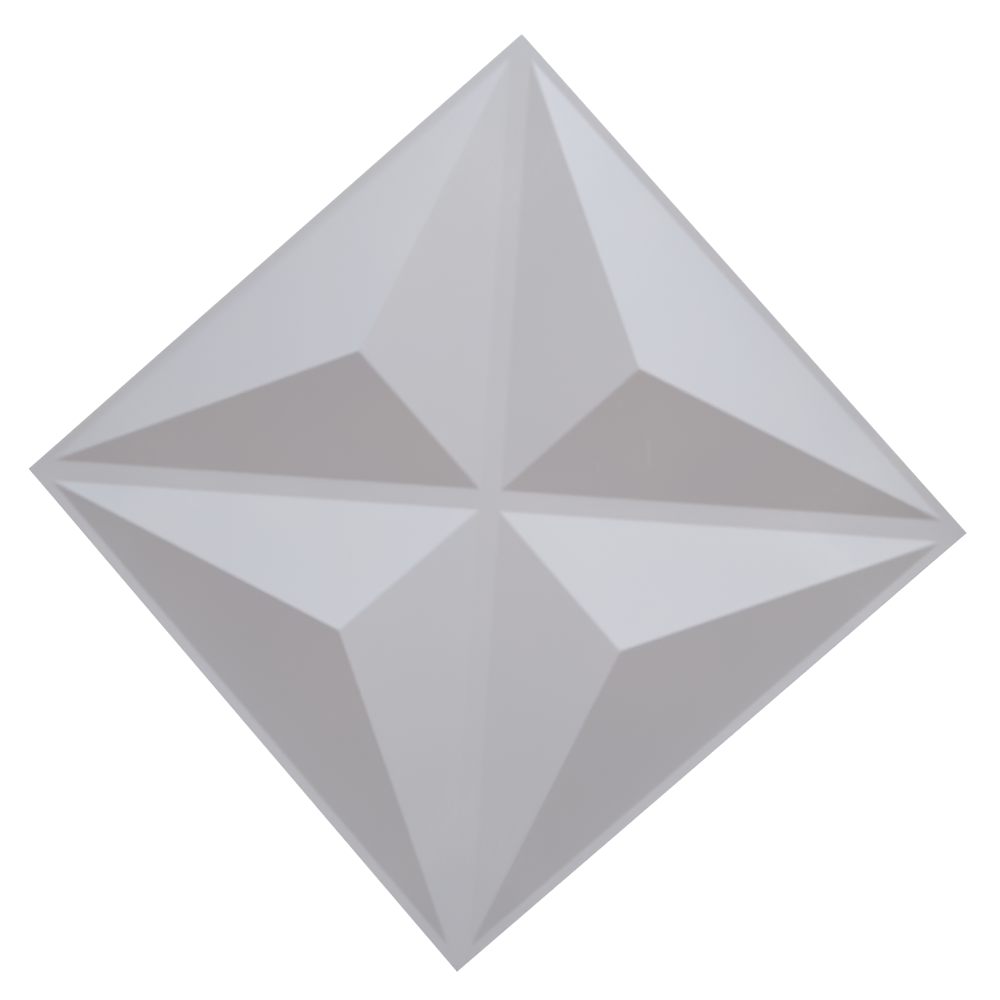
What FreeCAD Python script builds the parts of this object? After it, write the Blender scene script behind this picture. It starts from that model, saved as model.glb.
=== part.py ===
# Square relief tile for covering a wall, pressed in one piece from thin rigid sheet.
# Four low three-sided pyramids stand in the quarters that two crossed flat channels leave,
# inside a flat border that butts against the borders of the next tiles. The sheet has one
# thickness throughout, so the back shows the same relief hollow, and every bend is rounded.
#
# Millimetres. +Z points out of the wall, and X and Y run along the tile's edges.
# The origin is the middle of the flat back, which lies against the wall or floor.

import FreeCAD
import Part
import math
import os
from FreeCAD import Vector

# Driving dimensions
TILE_SIDE = 500.0
SHEET_THICKNESS = 1.0
BORDER_WIDTH = 7.5           # flat strip between the tile's edge and the feet of the pyramids
CHANNEL_WIDTH = 15.6         # flat strip between two pyramids, corner to corner
RELIEF_HEIGHT = 18.0         # peak above the flat front, before the ridges are rounded
RIDGE_INSIDE_RADIUS = 9.0    # where two facets meet, on the hollow side of the bend
CREASE_INSIDE_RADIUS = 16.0  # where a facet meets the flat, on the front, inside the bend

QUARTERS = 4
OUT_OF_WALL = Vector(0, 0, 1)
CENTRE = Vector(0, 0, 0)
SAME_HEIGHT = SHEET_THICKNESS / 1000    # heights closer than this count as one

# A quarter between the channels is a right-angled triangle with two equal sides. Its longest
# side lies along the border, and its right angle points at the middle of the tile. The peak
# stands over the centre of its inscribed circle, so all three facets have the same slope.
ROOT_TWO = math.sqrt(2.0)
FOOT_REACH = TILE_SIDE / 2 - BORDER_WIDTH
FOOT_START = CHANNEL_WIDTH / 2 * ROOT_TWO
FOOT_INRADIUS = (FOOT_REACH - FOOT_START) / (1 + ROOT_TWO)
PEAK_OUT = FOOT_REACH - FOOT_INRADIUS
FACET_SLOPE = math.atan2(RELIEF_HEIGHT, FOOT_INRADIUS)

# A bend keeps the sheet's thickness: its two faces share one axis, a thickness apart.
FRONT_RIDGE_RADIUS = RIDGE_INSIDE_RADIUS + SHEET_THICKNESS
BACK_CREASE_RADIUS = CREASE_INSIDE_RADIUS + SHEET_THICKNESS
FRONT_PEAK_HEIGHT = SHEET_THICKNESS + RELIEF_HEIGHT
BACK_PEAK_HEIGHT = FRONT_PEAK_HEIGHT - SHEET_THICKNESS / math.cos(FACET_SLOPE)


def flat_face(*corners):
    """A plane face with these corners."""
    return Part.Face(Part.makePolygon(list(corners) + [corners[0]]))


def is_level(edge, height):
    """Whether the whole edge lies at this height."""
    box = edge.BoundBox
    return abs(box.ZMin - height) < SAME_HEIGHT and abs(box.ZMax - height) < SAME_HEIGHT


def pyramid(peak_height, foot_height, ridge_radius):
    """The pyramid of the quarter on +Y, from its foot up to its peak, with rounded ridges.

    Its facets have the tile's slope whatever the heights are, so a lower peak gives the
    facets of the sheet's other face.
    """
    inradius = (peak_height - foot_height) / math.tan(FACET_SLOPE)
    outer_y = PEAK_OUT + inradius
    inner_y = PEAK_OUT - inradius * ROOT_TWO
    half_width = outer_y - inner_y
    inner = Vector(0, inner_y, foot_height)
    left = Vector(-half_width, outer_y, foot_height)
    right = Vector(half_width, outer_y, foot_height)
    peak = Vector(0, PEAK_OUT, peak_height)

    foot = flat_face(left, right, inner)
    border_facet = flat_face(right, left, peak)
    channel_facets = [flat_face(inner, right, peak), flat_face(left, inner, peak)]
    solid = Part.Solid(Part.Shell([foot, border_facet] + channel_facets))
    ridges = [edge for edge in solid.Edges if not is_level(edge, foot_height)]
    return solid.makeFillet(ridge_radius, ridges)


def in_every_quarter(shape):
    """Copies of the shape, one in each quarter of the tile."""
    copies = []
    for quarter in range(QUARTERS):
        turned = shape.copy()
        turned.rotate(CENTRE, OUT_OF_WALL, 360.0 / QUARTERS * quarter)
        copies.append(turned)
    return copies


def creases_at(solid, height):
    """The edges where facets meet the flat at this height, without the tile's outline."""
    inside_outline = TILE_SIDE / 2 - BORDER_WIDTH / 2
    found = []
    for edge in solid.Edges:
        box = edge.BoundBox
        reach = max(abs(box.XMin), abs(box.XMax), abs(box.YMin), abs(box.YMax))
        if is_level(edge, height) and reach < inside_outline:
            found.append(edge)
    return found


def pressed_front():
    """The flat blank with the four pyramids on it, and rounded creases at their feet."""
    corner = Vector(-TILE_SIDE / 2, -TILE_SIDE / 2, 0)
    blank = Part.makeBox(TILE_SIDE, TILE_SIDE, SHEET_THICKNESS, corner)
    raised = pyramid(FRONT_PEAK_HEIGHT, 0.0, FRONT_RIDGE_RADIUS)
    front = blank.multiFuse(in_every_quarter(raised)).removeSplitter()
    return front.makeFillet(CREASE_INSIDE_RADIUS, creases_at(front, SHEET_THICKNESS))


def hollowed(front):
    """The front with the sheet's back taken out of it, one thickness behind every face."""
    hollow = pyramid(BACK_PEAK_HEIGHT, -SHEET_THICKNESS, RIDGE_INSIDE_RADIUS)
    sheet = front.cut(Part.makeCompound(in_every_quarter(hollow)))
    return sheet.makeFillet(BACK_CREASE_RADIUS, creases_at(sheet, 0.0))


def tile_panel():
    """The whole tile as one solid."""
    sheet = hollowed(pressed_front())
    (panel,) = sheet.Solids
    return panel


os.makedirs("parts", exist_ok=True)
panel = tile_panel()
panel.exportStep("parts/tile_panel.step")
print(f"tile_panel: {panel.Volume / 1000:.1f} cm3, {len(panel.Faces)} faces, valid {panel.isValid()}")
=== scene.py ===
"""Dresses the pressed relief wall tile: a fine sheet mesh, its matt finish, and a pale studio."""
import logging
import math
from dataclasses import dataclass
from enum import Enum
from typing import Any, Mapping, Union

import bpy
from mathutils import Matrix, Vector


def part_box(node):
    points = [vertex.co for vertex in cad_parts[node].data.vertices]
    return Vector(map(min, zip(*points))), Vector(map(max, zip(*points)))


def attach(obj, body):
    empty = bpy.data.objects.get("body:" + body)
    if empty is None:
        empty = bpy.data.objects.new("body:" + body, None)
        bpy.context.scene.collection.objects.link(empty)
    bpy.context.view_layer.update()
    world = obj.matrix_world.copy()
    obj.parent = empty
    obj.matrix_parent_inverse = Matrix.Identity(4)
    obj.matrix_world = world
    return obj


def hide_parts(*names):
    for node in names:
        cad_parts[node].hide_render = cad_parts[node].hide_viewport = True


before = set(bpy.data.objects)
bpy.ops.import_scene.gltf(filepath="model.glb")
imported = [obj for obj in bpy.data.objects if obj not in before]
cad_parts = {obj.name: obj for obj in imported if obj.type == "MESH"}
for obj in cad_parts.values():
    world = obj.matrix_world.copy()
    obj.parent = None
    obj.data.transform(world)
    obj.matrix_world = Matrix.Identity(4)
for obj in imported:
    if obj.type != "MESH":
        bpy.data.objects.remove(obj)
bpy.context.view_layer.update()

log = logging.getLogger("tile_panel")

NODE = "tile_panel"
ROOT_TWO = math.sqrt(2.0)
MM = 0.001


class Quarter(Enum):
    """The quarters of the tile, by the side of the tile that they lie along."""

    PLUS_Y = 0
    MINUS_X = 1
    MINUS_Y = 2
    PLUS_X = 3

    @property
    def turn(self) -> float:
        """Radians from the +Y quarter, counterclockwise seen from the front."""
        return self.value * math.pi / 2


class Graph:
    """A node tree that expressions and single calls fill with nodes."""

    def __init__(self, tree: bpy.types.NodeTree) -> None:
        """Starts on a tree.

        Args:
            tree: the node tree to fill.
        """
        self.tree = tree

    def node(self, kind: str, settings: Mapping[str, Any], sockets: Mapping[Any, Any]) -> bpy.types.Node:
        """Adds one node.

        Args:
            kind: the node's type name.
            settings: its properties, set before its sockets.
            sockets: its inputs by index, name or identifier, each a constant, a socket or a Value.

        Returns:
            The new node.
        """
        made = self.tree.nodes.new(kind)
        for name, setting in settings.items():
            setattr(made, name, setting)
        for key, given in sockets.items():
            socket = self.find(made.inputs, key)
            if isinstance(given, Value):
                given = given.socket
            if isinstance(given, bpy.types.NodeSocket):
                self.tree.links.new(given, socket)
            else:
                socket.default_value = given
        return made

    @staticmethod
    def find(sockets: bpy.types.bpy_prop_collection, key: Union[int, str]) -> bpy.types.NodeSocket:
        """One socket of a node.

        Args:
            sockets: the node's inputs or outputs.
            key: the socket's index, identifier or name.

        Returns:
            The socket that the key names.
        """
        if isinstance(key, int):
            return sockets[key]
        return next((s for s in sockets if s.identifier == key), None) or sockets[key]

    def value(self, kind: str, settings: Mapping[str, Any], sockets: Mapping[Any, Any],
              output: Union[int, str] = 0) -> "Value":
        """Adds one node and gives one of its outputs as a number for expressions.

        Args:
            kind: the node's type name.
            settings: its properties.
            sockets: its inputs.
            output: which output is wanted.

        Returns:
            The output.
        """
        made = self.node(kind, settings, sockets)
        return Value(self, self.find(made.outputs, output))


Number = Union["Value", float]


class Value:
    """A number in a node tree. Arithmetic on it adds Math nodes."""

    def __init__(self, graph: Graph, socket: bpy.types.NodeSocket) -> None:
        """Wraps a socket.

        Args:
            graph: the tree that the socket is in.
            socket: the socket that gives the number.
        """
        self.graph = graph
        self.socket = socket

    def math(self, operation: str, *terms: Number) -> "Value":
        """One Math node.

        Args:
            operation: the node's operation.
            terms: its inputs in order.

        Returns:
            The node's result.
        """
        return self.graph.value("ShaderNodeMath", {"operation": operation}, dict(enumerate(terms)))

    def __add__(self, other: Number) -> "Value":
        """self + other."""
        return self.math("ADD", self, other)

    def __radd__(self, other: float) -> "Value":
        """other + self."""
        return self.math("ADD", other, self)

    def __sub__(self, other: Number) -> "Value":
        """self - other."""
        return self.math("SUBTRACT", self, other)

    def __rsub__(self, other: float) -> "Value":
        """other - self."""
        return self.math("SUBTRACT", other, self)

    def __mul__(self, other: Number) -> "Value":
        """self * other."""
        return self.math("MULTIPLY", self, other)

    def __rmul__(self, other: float) -> "Value":
        """other * self."""
        return self.math("MULTIPLY", other, self)

    def __truediv__(self, other: Number) -> "Value":
        """self / other."""
        return self.math("DIVIDE", self, other)

    def __abs__(self) -> "Value":
        """The size of self without its sign."""
        return self.math("ABSOLUTE", self)

    def at_most(self, other: Number) -> "Value":
        """The lesser of the two."""
        return self.math("MINIMUM", self, other)

    def at_least(self, other: Number) -> "Value":
        """The greater of the two."""
        return self.math("MAXIMUM", self, other)

    def whole(self) -> "Value":
        """The nearest whole number."""
        return self.math("ROUND", self)

    def floor(self) -> "Value":
        """The whole number at or below self."""
        return self.math("FLOOR", self)

    def root(self) -> "Value":
        """The square root of self."""
        return self.math("SQRT", self)

    def share(self) -> "Value":
        """Self, held between 0 and 1."""
        return self.at_least(0.0).at_most(1.0)

    def end_weighted(self) -> "Value":
        """A share whose even steps become short ones near 0 and near 1."""
        return 0.5 - 0.5 * self.math("COSINE", self.share() * math.pi)

    def blend_to(self, other: Number, part: Number) -> "Value":
        """Self where part is 0, and the other where it is 1."""
        return self + (other - self) * part

    def rounded_min(self, other: Number, reach: Number) -> "Value":
        """The lesser of the two, with the corner between them rounded.

        Args:
            other: the number to compare with.
            reach: how far apart the two are where the rounding ends.

        Returns:
            The rounded minimum.
        """
        near = (reach - abs(self - other)).at_least(0.0)
        return self.at_most(other) - near * near / (reach * 4.0)

    def rounded_positive(self, reach: Number) -> "Value":
        """Self where it is above 0 and else 0, with the corner between them rounded.

        Args:
            reach: how far from 0 the rounding ends.

        Returns:
            The rounded maximum of self and 0.
        """
        near = (reach - abs(self)).at_least(0.0)
        return self.at_least(0.0) + near * near / (reach * 4.0)


@dataclass(frozen=True)
class ReliefSizes:
    """The tile's own sizes, in metres."""

    sheet: float = 1.0 * MM
    border: float = 7.5 * MM
    channel: float = 15.6 * MM
    relief: float = 18.0 * MM
    ridge_radius: float = 8.5 * MM          # on the front, over the top of the bend
    inner_ridge_radius: float = 13.0 * MM   # the same, for the ridge that points at the middle
    crease_radius: float = 16.0 * MM        # on the front, inside the bend
    soft_crease_radius: float = 34.0 * MM   # the same, half-way along the border on the soft side
    tip_rounding: float = 1.5 * MM          # added to a ridge's reach where it ends at the border
    sag: float = 0.08                       # share of the slope lost at a facet's foot, gained at its top
    cut_edge_radius: float = 0.18 * MM
    ripple: float = 0.1 * MM                # how far a facet wanders from flat
    ripple_per_metre: float = 11.0
    ripple_seed: float = 4.2


@dataclass(frozen=True)
class SkinSteps:
    """How finely the front skin of one quarter is divided."""

    ridge: int = 3          # from a ridge's line to the end of its rounding
    facet_width: int = 26   # along a facet, between two ridges
    flat: int = 7           # from the quarter's outline to the crease
    crease: int = 6         # across a crease's rounding
    facet_rise: int = 22    # from the crease up to the peak
    cap: int = 3            # over the top of the peak

    @property
    def per_side(self) -> int:
        """Columns along one side of the pyramid."""
        return 2 * self.ridge + self.facet_width

    @property
    def columns(self) -> int:
        """Columns round the whole pyramid."""
        return 3 * self.per_side

    @property
    def rows(self) -> int:
        """Rows from the quarter's outline to the peak."""
        return self.flat + self.crease + self.facet_rise + self.cap


class QuarterSkin:
    """The Geometry Nodes rule for the front skin of the +Y quarter.

    Columns run round the pyramid and rows run from the quarter's outline to the peak. The
    columns crowd at the ridges and the rows at the crease, so that each rounding has its own
    faces. The height over a point is its distance inside the nearest foot line times the
    slope, rounded where two distances meet and where the facets meet the flat. A little sag
    makes each facet slightly hollow, as a pressed sheet is.
    """

    INPUTS = ("Side", "Sheet", "Border", "Channel", "Relief", "Ridge Radius", "Inner Ridge Radius",
              "Crease Radius", "Tip Rounding", "Sag", "Outer Crease Radius")
    TIP_SPAN = 22 * MM              # how far from a foot's sharp corner its rounding reaches
    STRIP_SHARE = 0.3               # the most of a side that the columns of one ridge take
    EVEN_SHARE = 0.25               # the share of the foot's size below which the columns turn even
    RAISED_REACH = 8 * MM           # from a foot line to where a facet's ripple is whole
    CREASE_MARK_REACH = 5 * MM      # from a crease to where its mark has faded out
    RIDGE_MARK_REACH = 2.5 * MM     # the same for a ridge
    RIDGE_MARK_START = 2 * MM       # from a foot line to where a ridge's mark is whole

    def __init__(self, steps: SkinSteps) -> None:
        """Builds the node group.

        Args:
            steps: how finely the skin is divided.
        """
        self.steps = steps
        self.group = bpy.data.node_groups.new("quarter_skin", "GeometryNodeTree")
        for name in self.INPUTS:
            self.group.interface.new_socket(name, in_out="INPUT", socket_type="NodeSocketFloat")
        self.group.interface.new_socket("Skin", in_out="OUTPUT", socket_type="NodeSocketGeometry")
        self.graph = Graph(self.group)
        entry = self.graph.node("NodeGroupInput", {}, {})
        self.sizes = {name: Value(self.graph, entry.outputs[name]) for name in self.INPUTS}
        self.measure()
        self.fill()

    def measure(self) -> None:
        """Works out the foot, the peak and the slope from the driving sizes."""
        size = self.sizes
        self.reach = size["Side"] * 0.5 - size["Border"]
        self.start = size["Channel"] * (0.5 * ROOT_TWO)
        self.inradius = (self.reach - self.start) / (1 + ROOT_TWO)
        self.peak_y = self.reach - self.inradius
        self.slope = size["Relief"] / self.inradius
        self.ridge_reach = size["Ridge Radius"] * self.slope
        self.inner_reach = size["Inner Ridge Radius"] * self.slope

    def fill(self) -> None:
        """Adds the grid, its plan, its height and the marks that the finish reads."""
        steps = self.steps
        graph = self.graph
        grid = graph.node("GeometryNodeMeshGrid", {}, {
            "Size X": 1.0, "Size Y": 1.0, "Vertices X": steps.columns + 1, "Vertices Y": steps.rows + 1})
        place = graph.node("GeometryNodeInputPosition", {}, {})
        across = graph.node("ShaderNodeSeparateXYZ", {}, {0: place.outputs[0]})
        column = ((Value(graph, across.outputs["X"]) + 0.5) * steps.columns).whole()
        row = ((Value(graph, across.outputs["Y"]) + 0.5) * steps.rows).whole()
        side = (column / steps.per_side).floor().at_most(2.0)
        crease = self.crease_reach(side, column - side * steps.per_side)
        x, y = self.plan(side, column - side * steps.per_side, row, crease)
        inside, ridge = self.inside(x, y)
        lifted = inside.rounded_positive(crease)
        sagged = lifted * (1.0 - self.sizes["Sag"] * (1.0 - lifted / self.inradius))
        z = self.sizes["Sheet"] + self.slope * sagged
        point = graph.node("ShaderNodeCombineXYZ", {}, {"X": x, "Y": y, "Z": z})
        shaped = graph.node("GeometryNodeSetPosition", {}, {
            "Geometry": grid.outputs["Mesh"], "Position": point.outputs[0]})
        marks = {
            "raised": (inside / self.RAISED_REACH).share(),
            "crease_mark": (1.0 - abs(inside) / self.CREASE_MARK_REACH).share(),
            "ridge_mark": ridge * (inside / self.RIDGE_MARK_START).share(),
        }
        marked = shaped.outputs["Geometry"]
        for name, mark in marks.items():
            stored = graph.node("GeometryNodeStoreNamedAttribute",
                                {"data_type": "FLOAT", "domain": "POINT"},
                                {"Geometry": marked, "Name": name, "Value": mark})
            marked = stored.outputs["Geometry"]
        facing = graph.node("GeometryNodeFlipFaces", {}, {"Mesh": marked})
        graph.node("NodeGroupOutput", {}, {"Skin": facing.outputs["Mesh"]})

    def crease_reach(self, side: Value, step: Value) -> Value:
        """How far a crease's rounding reaches to each side of its line, seen in plan.

        Args:
            side: which side of the pyramid, 0 for the border's.
            step: columns from the start of the side.

        Returns:
            The reach, in metres.
        """
        sharp = self.sizes["Crease Radius"] * self.slope * 0.5
        soft = self.sizes["Outer Crease Radius"] * self.slope * 0.5
        along = ((step - self.steps.ridge) / self.steps.facet_width).end_weighted()
        middle = (along * (1.0 - along) * 4.0).root()
        return sharp.blend_to(soft, middle * (1.0 - side.at_most(1.0)))

    def plan(self, side: Value, step: Value, row: Value, crease: Value) -> tuple[Value, Value]:
        """Where a grid point lies, seen from the front.

        Args:
            side: which side of the pyramid, 0 for the border's, then round clockwise.
            step: columns from the start of the side.
            row: rows from the quarter's outline.
            crease: how far the crease's rounding reaches.

        Returns:
            The point's x and y.
        """
        steps = self.steps
        border = 1.0 - side.at_most(1.0)
        inward = 1.0 - abs(side - 1.0)
        outward = (side - 1.0).at_least(0.0)
        legs = inward + outward

        from_start = (step / steps.ridge).share()
        to_end = ((step - steps.ridge - steps.facet_width) / steps.ridge).share()
        flat = (row / steps.flat).share()
        bend = ((row - steps.flat) / steps.crease).share()
        rise = ((row - steps.flat - steps.crease) / steps.facet_rise).end_weighted()
        cap = ((row - steps.flat - steps.crease - steps.facet_rise) / steps.cap).share()

        top = self.inradius - self.inner_reach
        inset = crease * (bend * 2.0 - 1.0) + (top - crease) * rise
        size = self.inradius - inset

        even = ((step - steps.ridge) / steps.facet_width).share()
        away_from_peak = (size / self.inradius / self.EVEN_SHARE).share()
        along = even.blend_to(even.end_weighted(), away_from_peak)
        wide = self.ridge_reach * (1 + ROOT_TWO)
        length = size * (border * (2 + 2 * ROOT_TWO) + legs * (2 + ROOT_TWO))
        widest = length * self.STRIP_SHARE
        start_strip = (wide * (border + inward) + self.inner_reach * outward).at_most(widest)
        end_strip = (wide * (border + outward) + self.inner_reach * inward).at_most(widest)
        run = start_strip * from_start + end_strip * to_end + along * (length - start_strip - end_strip)

        ring_x = size * (inward - border) * (1 + ROOT_TWO) + run * (border - legs * (1 / ROOT_TWO))
        ring_y = (self.peak_y + size * (border + inward - outward * ROOT_TWO)
                  + run * (outward - inward) * (1 / ROOT_TWO))
        half = self.sizes["Side"] * 0.5
        outline_x = half * ((inward - border) + along * (2.0 * border - legs))
        outline_y = half * ((border + inward) + along * (outward - inward))

        x = outline_x.blend_to(ring_x, flat).blend_to(0.0, cap)
        y = outline_y.blend_to(ring_y, flat).blend_to(self.peak_y, cap)
        return x, y

    def inside(self, x: Value, y: Value) -> tuple[Value, Value]:
        """How far a point lies inside the foot, with the ridges rounded.

        Args:
            x: the point's place along the border.
            y: its place out from the tile's middle.

        Returns:
            The distance inside the nearest foot line, and a mark that is 1 on a ridge.
        """
        border = self.reach - y
        right = (y - self.start - x) * (1 / ROOT_TWO)
        left = (y - self.start + x) * (1 / ROOT_TWO)
        to_tip = abs(x) - (self.reach - self.start)
        from_tip = (to_tip * to_tip + border * border).root()
        blunt = self.sizes["Tip Rounding"] * (1.0 - from_tip / self.TIP_SPAN).share()
        nearest_leg = right.rounded_min(left, self.inner_reach)
        inside = border.rounded_min(nearest_leg, self.ridge_reach * (1 + 1 / ROOT_TWO) + blunt)
        leg_gap = abs(right - left)
        border_gap = abs(border - right.at_most(left))
        near = self.RIDGE_MARK_REACH
        on_leg_ridge = (1.0 - leg_gap / near).share() * ((border - right) / near + 1.0).share()
        ridge = on_leg_ridge.at_least((1.0 - border_gap / near).share())
        return inside, ridge


Colour = tuple[float, float, float]


@dataclass(frozen=True)
class Pattern:
    """A soft random pattern, about 0.5 on average."""

    per_metre: float        # how many of its blobs lie along a metre
    detail: float           # how many finer patterns are added to it
    seed: float             # which of the many such patterns it is
    contrast: float = 1.0   # how sharply its patches stand out
    cut: float = 0.0        # what is then taken off, so that patches are left


class Finish:
    """A material's node tree, with the patterns that the finishes share."""

    def __init__(self, name: str) -> None:
        """Makes an empty material.

        Args:
            name: the material's name.
        """
        self.material = bpy.data.materials.new(name)
        self.material.use_nodes = True
        self.material.node_tree.nodes.clear()
        self.graph = Graph(self.material.node_tree)
        self.place = self.graph.node("ShaderNodeTexCoord", {}, {}).outputs["Object"]

    def axes(self) -> tuple[Value, Value]:
        """The x and y of a point of the piece, in metres."""
        split = self.graph.node("ShaderNodeSeparateXYZ", {}, {0: self.place})
        return Value(self.graph, split.outputs["X"]), Value(self.graph, split.outputs["Y"])

    def noise(self, pattern: Pattern) -> Value:
        """The pattern's value at a point."""
        return self.graph.value("ShaderNodeTexNoise", {"noise_dimensions": "4D"}, {
            "Vector": self.place, "W": pattern.seed, "Scale": pattern.per_metre,
            "Detail": pattern.detail}, "Fac")

    def patches(self, pattern: Pattern) -> Value:
        """How far a point lies in one of the pattern's patches, from 0 to 1."""
        return (self.noise(pattern) * pattern.contrast - pattern.cut).share()

    def mark(self, name: str) -> Value:
        """One of the marks that the mesh carries from its Geometry Nodes."""
        return self.graph.value("ShaderNodeAttribute", {"attribute_name": name}, {}, "Fac")

    def mix(self, base: Union[bpy.types.NodeSocket, Colour], over: Colour,
            part: Value) -> bpy.types.NodeSocket:
        """One colour laid over another.

        Args:
            base: the colour underneath.
            over: the colour on top.
            part: how much of the colour on top shows, from 0 to 1.

        Returns:
            The mixed colour.
        """
        under = base if isinstance(base, bpy.types.NodeSocket) else (*base, 1.0)
        mixed = self.graph.node("ShaderNodeMix", {"data_type": "RGBA"}, {
            "Factor_Float": part, "A_Color": under, "B_Color": (*over, 1.0)})
        return Graph.find(mixed.outputs, "Result_Color")

    def finish(self, surface: bpy.types.Node) -> bpy.types.Material:
        """Connects the surface and gives the finished material."""
        self.graph.node("ShaderNodeOutputMaterial", {}, {"Surface": surface.outputs[0]})
        return self.material


@dataclass(frozen=True)
class RubMark:
    """A faint handling mark on the front: a straight line seen in plan, in metres."""

    start: tuple[float, float]
    end: tuple[float, float]
    reach: float        # from the line to where the mark has faded out
    strength: float

    def cover(self, x: Value, y: Value) -> Value:
        """How much of the mark lies on a point.

        Args:
            x: the point's x.
            y: the point's y.

        Returns:
            From 0 to the mark's strength.
        """
        run = Vector(self.end) - Vector(self.start)
        way = run.normalized()
        east, north = x - self.start[0], y - self.start[1]
        along = east * way.x + north * way.y
        across = north * way.x - east * way.y
        beyond = (abs(along - run.length / 2) - run.length / 2).at_least(0.0)
        away = (beyond * beyond + across * across).root()
        return (1.0 - away / self.reach).share() * self.strength


@dataclass(frozen=True)
class MattSheet:
    """Rigid off-white sheet with a fine, even, matt grain."""

    name: str = "matt_sheet"
    half_side: float = 0.25

    cool: Colour = (0.611, 0.613, 0.634)
    warm: Colour = (0.629, 0.625, 0.626)
    # painted light: a cooler tint where cooler light falls on the sheet, toward +X and -Y
    painted_cool_light: Colour = (0.599, 0.610, 0.626)     # of the sheet toward +X and -Y
    darker: Colour = (0.585, 0.587, 0.598)
    # darker in every crease, speckled: dust and painted shade
    crease_dust_and_shade: Colour = (0.520, 0.510, 0.500)
    # lighter: the handling marks, and a painted highlight along the ridges
    rubbed_and_highlit: Colour = (0.700, 0.695, 0.690)
    scuffed: Colour = (0.500, 0.500, 0.510)
    cut: Colour = (0.660, 0.655, 0.645)

    warmth: Pattern = Pattern(13.0, 1.0, 3.1, contrast=2.4, cut=0.7)
    shade: Pattern = Pattern(6.0, 2.0, 8.3, contrast=2.0, cut=0.7)
    speck: Pattern = Pattern(160.0, 3.0, 1.7)
    unevenness: Pattern = Pattern(38.0, 2.0, 5.9)
    grain: Pattern = Pattern(2600.0, 2.0, 0.4)
    peel: Pattern = Pattern(380.0, 1.0, 2.2)
    grain_mm: float = 0.004             # how deep the grain is
    peel_mm: float = 0.003              # and how deep the wider unevenness under it

    corner_start: float = 0.10          # of x - y, where the cooler corner sets in
    corner_span: float = 0.30           # from there to where it is whole
    corner_share: float = 0.8
    shade_share: float = 0.35
    crease_shade_share: float = 0.25
    ridge_highlight_share: float = 0.5
    cut_width: float = 0.22 * MM        # from the tile's edge to where the cut begins
    cut_fade: float = 0.1 * MM

    roughness: float = 0.52
    uneven_roughness: float = 0.12      # how far the roughness wanders
    dust_roughness: float = 0.06        # how much rougher each of these makes it
    cut_roughness: float = 0.15
    rub_gloss: float = 0.10             # and how much smoother these two
    mark_gloss: float = 0.15
    refraction: float = 1.5

    light_marks: tuple[RubMark, ...] = (
        RubMark((0.0442, 0.1180), (0.0576, 0.1076), 2.6 * MM, 0.40),
        RubMark((0.0322, 0.0786), (0.0372, 0.0753), 1.8 * MM, 0.35),
        RubMark((0.0095, 0.1203), (0.0107, 0.1195), 2.6 * MM, 0.30),
    )
    dark_marks: tuple[RubMark, ...] = (
        RubMark((-0.0368, -0.1064), (-0.0356, -0.1068), 3.4 * MM, 0.15),
    )

    def material(self) -> bpy.types.Material:
        """Builds the finish.

        Returns:
            The material.
        """
        made = Finish(self.name)
        x, y = made.axes()
        cut = ((abs(x).at_least(abs(y)) - (self.half_side - self.cut_width)) / self.cut_fade).share()
        crease, ridge = made.mark("crease_mark"), made.mark("ridge_mark")
        speck = made.noise(self.speck)
        cool_light_part = ((x - y - self.corner_start) / self.corner_span).share()

        colour = made.mix(self.cool, self.warm, made.patches(self.warmth))
        # painted cool light over the +X and -Y corner of the sheet
        colour = made.mix(colour, self.painted_cool_light, cool_light_part * self.corner_share)
        colour = made.mix(colour, self.darker, made.patches(self.shade) * self.shade_share)
        # painted shade in the creases, speckled like dust
        colour = made.mix(colour, self.crease_dust_and_shade, crease * speck * self.crease_shade_share)
        # painted highlight along the ridges, speckled like a rub
        colour = made.mix(colour, self.rubbed_and_highlit, ridge * speck * self.ridge_highlight_share)
        light = sum((mark.cover(x, y) for mark in self.light_marks), 0.0)
        dark = sum((mark.cover(x, y) for mark in self.dark_marks), 0.0)
        colour = made.mix(colour, self.rubbed_and_highlit, light)
        colour = made.mix(colour, self.scuffed, dark)
        colour = made.mix(colour, self.cut, cut)

        rough = ((made.noise(self.unevenness) - 0.5) * self.uneven_roughness + self.roughness
                 + crease * self.dust_roughness - ridge * self.rub_gloss
                 - light * self.mark_gloss + cut * self.cut_roughness)
        grain = made.noise(self.grain) * self.grain_mm
        peel = made.noise(self.peel) * self.peel_mm
        bump = made.graph.node("ShaderNodeBump", {}, {
            "Strength": 1.0, "Distance": MM, "Height": grain + peel})
        sheet = made.graph.node("ShaderNodeBsdfPrincipled", {}, {
            "Base Color": colour, "Roughness": rough, "IOR": self.refraction,
            "Normal": bump.outputs[0]})
        return made.finish(sheet)


@dataclass(frozen=True)
class RimCurl:
    """The slight curl of one side's rim, away from the wall."""

    quarter: Quarter
    height: float               # the most that the edge lifts, in metres
    place: float                # where along the side that is, from -1 to 1, clockwise from the front
    span: float = 45 * MM       # how far in from the tile's edge it starts

    @property
    def label(self) -> str:
        """The name of the tree's input for the height."""
        return f"Curl {self.quarter.name}"

    def lift(self, x: Value, y: Value, half: Value, height: Value) -> Value:
        """How far the curl lifts a point.

        Args:
            x: the point's x.
            y: the point's y.
            half: half of the tile's side.
            height: the most that the edge lifts.

        Returns:
            The lift, in metres.
        """
        turn = self.quarter.turn
        out = y * math.cos(turn) - x * math.sin(turn)
        along = (x * math.cos(turn) + y * math.sin(turn)) / half
        near = ((out - (half - self.span)) / self.span).share()
        off = (along - self.place) / (1 + abs(self.place))
        return near * near * near * (1.0 - off * off).share() * height


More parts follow.
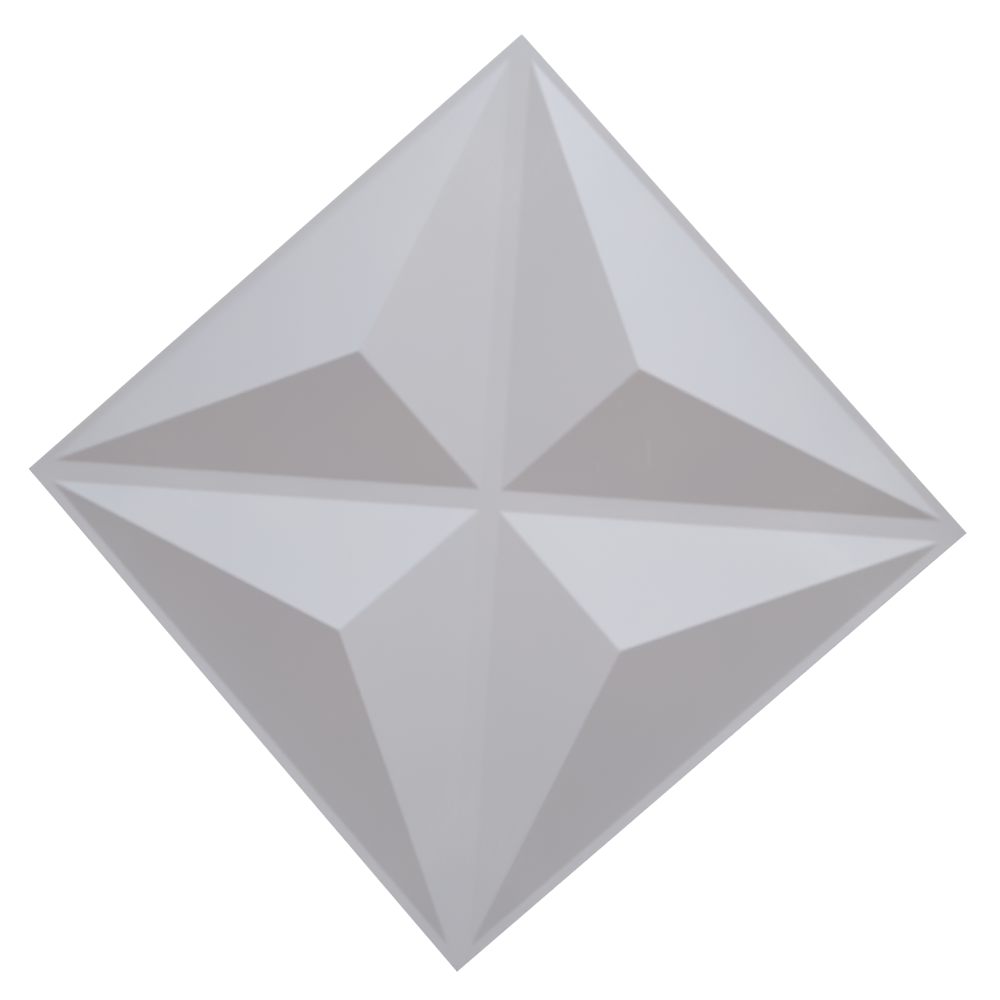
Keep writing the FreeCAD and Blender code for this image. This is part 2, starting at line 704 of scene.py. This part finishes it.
@dataclass(frozen=True)
class TilePanel:
    """The whole tile: one pressed sheet."""

    MERGE_WITHIN = 0.001 * MM           # points of neighbouring quarters that become one
    CUT_EDGE_STEPS = 3                  # faces across a rounded cut edge
    CUT_EDGE_TURN = math.radians(60)    # the least turn that counts as a cut edge

    side: float
    sizes: ReliefSizes = ReliefSizes()
    steps: SkinSteps = SkinSteps()
    soft_side: Quarter = Quarter.MINUS_X
    curls: tuple[RimCurl, ...] = (
        RimCurl(Quarter.PLUS_Y, 0.95 * MM, 0.7),
        RimCurl(Quarter.MINUS_X, 0.55 * MM, -0.5),
        RimCurl(Quarter.MINUS_Y, 0.7 * MM, 0.15),
        RimCurl(Quarter.PLUS_X, 0.7 * MM, 0.0),
    )

    def outer_crease_radius(self, quarter: Quarter) -> float:
        """The crease's radius half-way along the border, which is softer on one side."""
        return self.sizes.soft_crease_radius if quarter is self.soft_side else self.sizes.crease_radius

    def tree(self, finish: bpy.types.Material) -> bpy.types.NodeTree:
        """The Geometry Nodes tree of the whole front skin.

        Args:
            finish: the material that the tree sets.

        Returns:
            The tree.
        """
        quarter_skin = QuarterSkin(self.steps)
        tree = bpy.data.node_groups.new("pressed_skin", "GeometryNodeTree")
        tree.interface.new_socket("Geometry", in_out="INPUT", socket_type="NodeSocketGeometry")
        for name in (*QuarterSkin.INPUTS[:-1], "Ripple", "Ripple Scale", *(c.label for c in self.curls)):
            tree.interface.new_socket(name, in_out="INPUT", socket_type="NodeSocketFloat")
        tree.interface.new_socket("Geometry", in_out="OUTPUT", socket_type="NodeSocketGeometry")
        graph = Graph(tree)
        entry = graph.node("NodeGroupInput", {}, {})
        join = graph.node("GeometryNodeJoinGeometry", {}, {})
        for quarter in Quarter:
            given = {name: entry.outputs[name] for name in QuarterSkin.INPUTS[:-1]}
            given["Outer Crease Radius"] = self.outer_crease_radius(quarter)
            skin = graph.node("GeometryNodeGroup", {"node_tree": quarter_skin.group}, given)
            turned = graph.node("GeometryNodeTransform", {}, {
                "Geometry": skin.outputs[0], "Rotation": (0.0, 0.0, quarter.turn)})
            tree.links.new(turned.outputs[0], join.inputs[0])
        merged = graph.node("GeometryNodeMergeByDistance", {}, {
            "Geometry": join.outputs[0], "Distance": self.MERGE_WITHIN})

        wander = graph.value("ShaderNodeTexNoise", {"noise_dimensions": "4D"}, {
            "W": self.sizes.ripple_seed, "Scale": entry.outputs["Ripple Scale"], "Detail": 1.0}, "Fac")
        raised = graph.value("GeometryNodeInputNamedAttribute", {"data_type": "FLOAT"}, {"Name": "raised"})
        ripple = (wander - 0.5) * raised * Value(graph, entry.outputs["Ripple"])
        place = graph.node("GeometryNodeInputPosition", {}, {})
        split = graph.node("ShaderNodeSeparateXYZ", {}, {0: place.outputs[0]})
        x, y = Value(graph, split.outputs["X"]), Value(graph, split.outputs["Y"])
        half = Value(graph, entry.outputs["Side"]) * 0.5
        curled = sum((curl.lift(x, y, half, Value(graph, entry.outputs[curl.label]))
                      for curl in self.curls), 0.0)
        offset = graph.node("ShaderNodeCombineXYZ", {}, {"Z": ripple + curled})
        rippled = graph.node("GeometryNodeSetPosition", {}, {
            "Geometry": merged.outputs[0], "Offset": offset.outputs[0]})

        smooth = graph.node("GeometryNodeSetShadeSmooth", {}, {"Geometry": rippled.outputs[0]})
        real = graph.node("GeometryNodeRealizeInstances", {}, {"Geometry": smooth.outputs[0]})
        dressed = graph.node("GeometryNodeSetMaterial", {}, {
            "Geometry": real.outputs[0], "Material": finish})
        graph.node("NodeGroupOutput", {}, {"Geometry": dressed.outputs[0]})
        return tree

    def build(self, finish: bpy.types.Material) -> bpy.types.Object:
        """Makes the tile as a plain mesh.

        Args:
            finish: its material.

        Returns:
            The finished object, at the origin.
        """
        sizes = self.sizes
        blank = bpy.data.objects.new("tile_blank", bpy.data.meshes.new("tile_blank"))
        bpy.context.scene.collection.objects.link(blank)
        tree = self.tree(finish)
        pressing = blank.modifiers.new("pressing", "NODES")
        pressing.node_group = tree
        given = {
            "Side": self.side, "Sheet": sizes.sheet, "Border": sizes.border, "Channel": sizes.channel,
            "Relief": sizes.relief, "Ridge Radius": sizes.ridge_radius,
            "Inner Ridge Radius": sizes.inner_ridge_radius, "Crease Radius": sizes.crease_radius,
            "Tip Rounding": sizes.tip_rounding, "Sag": sizes.sag, "Ripple": sizes.ripple,
            "Ripple Scale": sizes.ripple_per_metre,
            **{curl.label: curl.height for curl in self.curls},
        }
        for item in tree.interface.items_tree:
            if item.in_out == "INPUT" and item.name in given:
                pressing[item.identifier] = given[item.name]
        wall = blank.modifiers.new("sheet_thickness", "SOLIDIFY")
        wall.thickness = sizes.sheet
        wall.offset = -1.0
        wall.use_even_offset = True
        cut = blank.modifiers.new("cut_edges", "BEVEL")
        cut.width = sizes.cut_edge_radius
        cut.segments = self.CUT_EDGE_STEPS
        cut.limit_method = "ANGLE"
        cut.angle_limit = self.CUT_EDGE_TURN
        graph = bpy.context.evaluated_depsgraph_get()
        mesh = bpy.data.meshes.new_from_object(blank.evaluated_get(graph), depsgraph=graph)
        bpy.data.objects.remove(blank)
        mesh.name = "relief_sheet"
        piece = bpy.data.objects.new("relief_sheet", mesh)
        bpy.context.scene.collection.objects.link(piece)
        return piece

    def report(self, piece: bpy.types.Object) -> None:
        """Logs the piece's faces and size."""
        log.info("%s: %d faces, %s mm", piece.name, len(piece.data.polygons),
                 [round(length / MM, 2) for length in piece.dimensions])


@dataclass(frozen=True)
class SoftLight:
    """A square soft light that faces the tile."""

    name: str
    place: tuple[float, float, float]
    size: float
    colour: Colour
    watts: float
    reflected: bool = True      # whether the sheet's sheen shows it

    def build(self) -> bpy.types.Object:
        """Makes the light.

        Returns:
            The light's object.
        """
        lamp = bpy.data.lights.new(self.name, "AREA")
        lamp.shape = "SQUARE"
        lamp.size = self.size
        lamp.color = self.colour
        lamp.energy = self.watts
        placed = bpy.data.objects.new(self.name, lamp)
        placed.location = self.place
        placed.rotation_euler = (-Vector(self.place)).to_track_quat("-Z", "Y").to_euler()
        placed.visible_camera = False
        placed.visible_glossy = self.reflected
        bpy.context.scene.collection.objects.link(placed)
        return placed


@dataclass(frozen=True)
class PaleFloor:
    """The floor that the tile lies on."""

    half: float = 30.0
    below: float = 0.05 * MM        # under the tile, so that the two don't touch
    colour: Colour = (0.10, 0.10, 0.10)
    roughness: float = 0.9
    glow: float = 1.0

    def build(self) -> bpy.types.Object:
        """Makes the floor.

        Returns:
            The floor's object.
        """
        mesh = bpy.data.meshes.new("floor")
        corners = [(x * self.half, y * self.half, -self.below)
                   for x, y in ((-1, -1), (1, -1), (1, 1), (-1, 1))]
        mesh.from_pydata(corners, [], [(0, 1, 2, 3)])
        made = Finish("pale_floor")
        matt = made.graph.node("ShaderNodeBsdfPrincipled", {}, {
            "Base Color": (*self.colour, 1.0), "Roughness": self.roughness, "Specular IOR Level": 0.0,
            "Emission Color": (1.0, 1.0, 1.0, 1.0), "Emission Strength": self.glow})
        mesh.materials.append(made.finish(matt))
        floor = bpy.data.objects.new("floor", mesh)
        bpy.context.scene.collection.objects.link(floor)
        return floor


@dataclass(frozen=True)
class Studio:
    """The light and the camera of the photograph."""

    camera_place: tuple[float, float, float] = (0.0351, 0.0221, 0.8182)
    aim: tuple[float, float, float] = (0.0050, 0.0060, 0.001)
    heading: float = math.radians(138.954)     # of the photograph's upward direction on the floor
    lens_mm: float = 39.186
    sensor_mm: float = 36.0
    near_clip: float = 0.01
    ambient: Colour = (0.003, 0.003, 0.004)
    far: Colour = (1.0, 1.0, 1.0)              # what the camera sees past the floor

    def camera(self) -> bpy.types.Object:
        """Makes the camera and gives it to the scene.

        Returns:
            The camera's object.
        """
        data = bpy.data.cameras.new("photo_camera")
        data.lens = self.lens_mm
        data.sensor_width = self.sensor_mm
        data.clip_start = self.near_clip
        camera = bpy.data.objects.new("photo_camera", data)
        back = (Vector(self.camera_place) - Vector(self.aim)).normalized()
        right = Vector((math.cos(self.heading), math.sin(self.heading), 0.0)).cross(back).normalized()
        up = back.cross(right)
        turn = Matrix((right, up, back)).transposed()
        camera.matrix_world = Matrix.Translation(self.camera_place) @ turn.to_4x4()
        bpy.context.scene.collection.objects.link(camera)
        bpy.context.scene.camera = camera
        return camera

    def world(self) -> None:
        """Lights the scene faintly from all round."""
        world = bpy.data.worlds.new("studio")
        world.use_nodes = True
        world.node_tree.nodes.clear()
        graph = Graph(world.node_tree)
        seen = graph.node("ShaderNodeLightPath", {}, {})
        faint = graph.node("ShaderNodeBackground", {}, {"Color": (*self.ambient, 1.0), "Strength": 1.0})
        pale = graph.node("ShaderNodeBackground", {}, {"Color": (*self.far, 1.0), "Strength": 1.0})
        mixed = graph.node("ShaderNodeMixShader", {}, {
            0: seen.outputs["Is Camera Ray"], 1: faint.outputs[0], 2: pale.outputs[0]})
        graph.node("ShaderNodeOutputWorld", {}, {"Surface": mixed.outputs[0]})
        bpy.context.scene.world = world
        bpy.context.scene.view_settings.view_transform = "Standard"

    def lights(self) -> list[SoftLight]:
        """The soft lights of the studio."""
        return [
            SoftLight("window_side", (-2.680, 3.628, 1.253), 1.0, (0.785, 0.895, 1.0), 337.4),
            SoftLight("overhead", (0.004, 0.167, 1.0), 1.0, (1.0, 0.867, 0.825), 5.17),
            SoftLight("low_fill", (0.569, -1.437, 0.488), 0.8, (0.947, 0.929, 1.0), 7.98, reflected=False),
        ]


def main() -> None:
    """Builds the tile and the studio, in order."""
    low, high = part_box(NODE)
    panel = TilePanel(side=high.x - low.x)
    piece = panel.build(MattSheet(half_side=panel.side / 2).material())
    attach(piece, "root")
    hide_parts(NODE)
    panel.report(piece)

    floor = PaleFloor().build()
    log.info("%s", floor.name)
    studio = Studio()
    studio.world()
    for light in studio.lights():
        log.info("%s", light.build().name)
    log.info("%s", studio.camera().name)


if __name__ == "__main__":
    logging.basicConfig(level=logging.INFO, format="%(name)s: %(message)s")
    main()
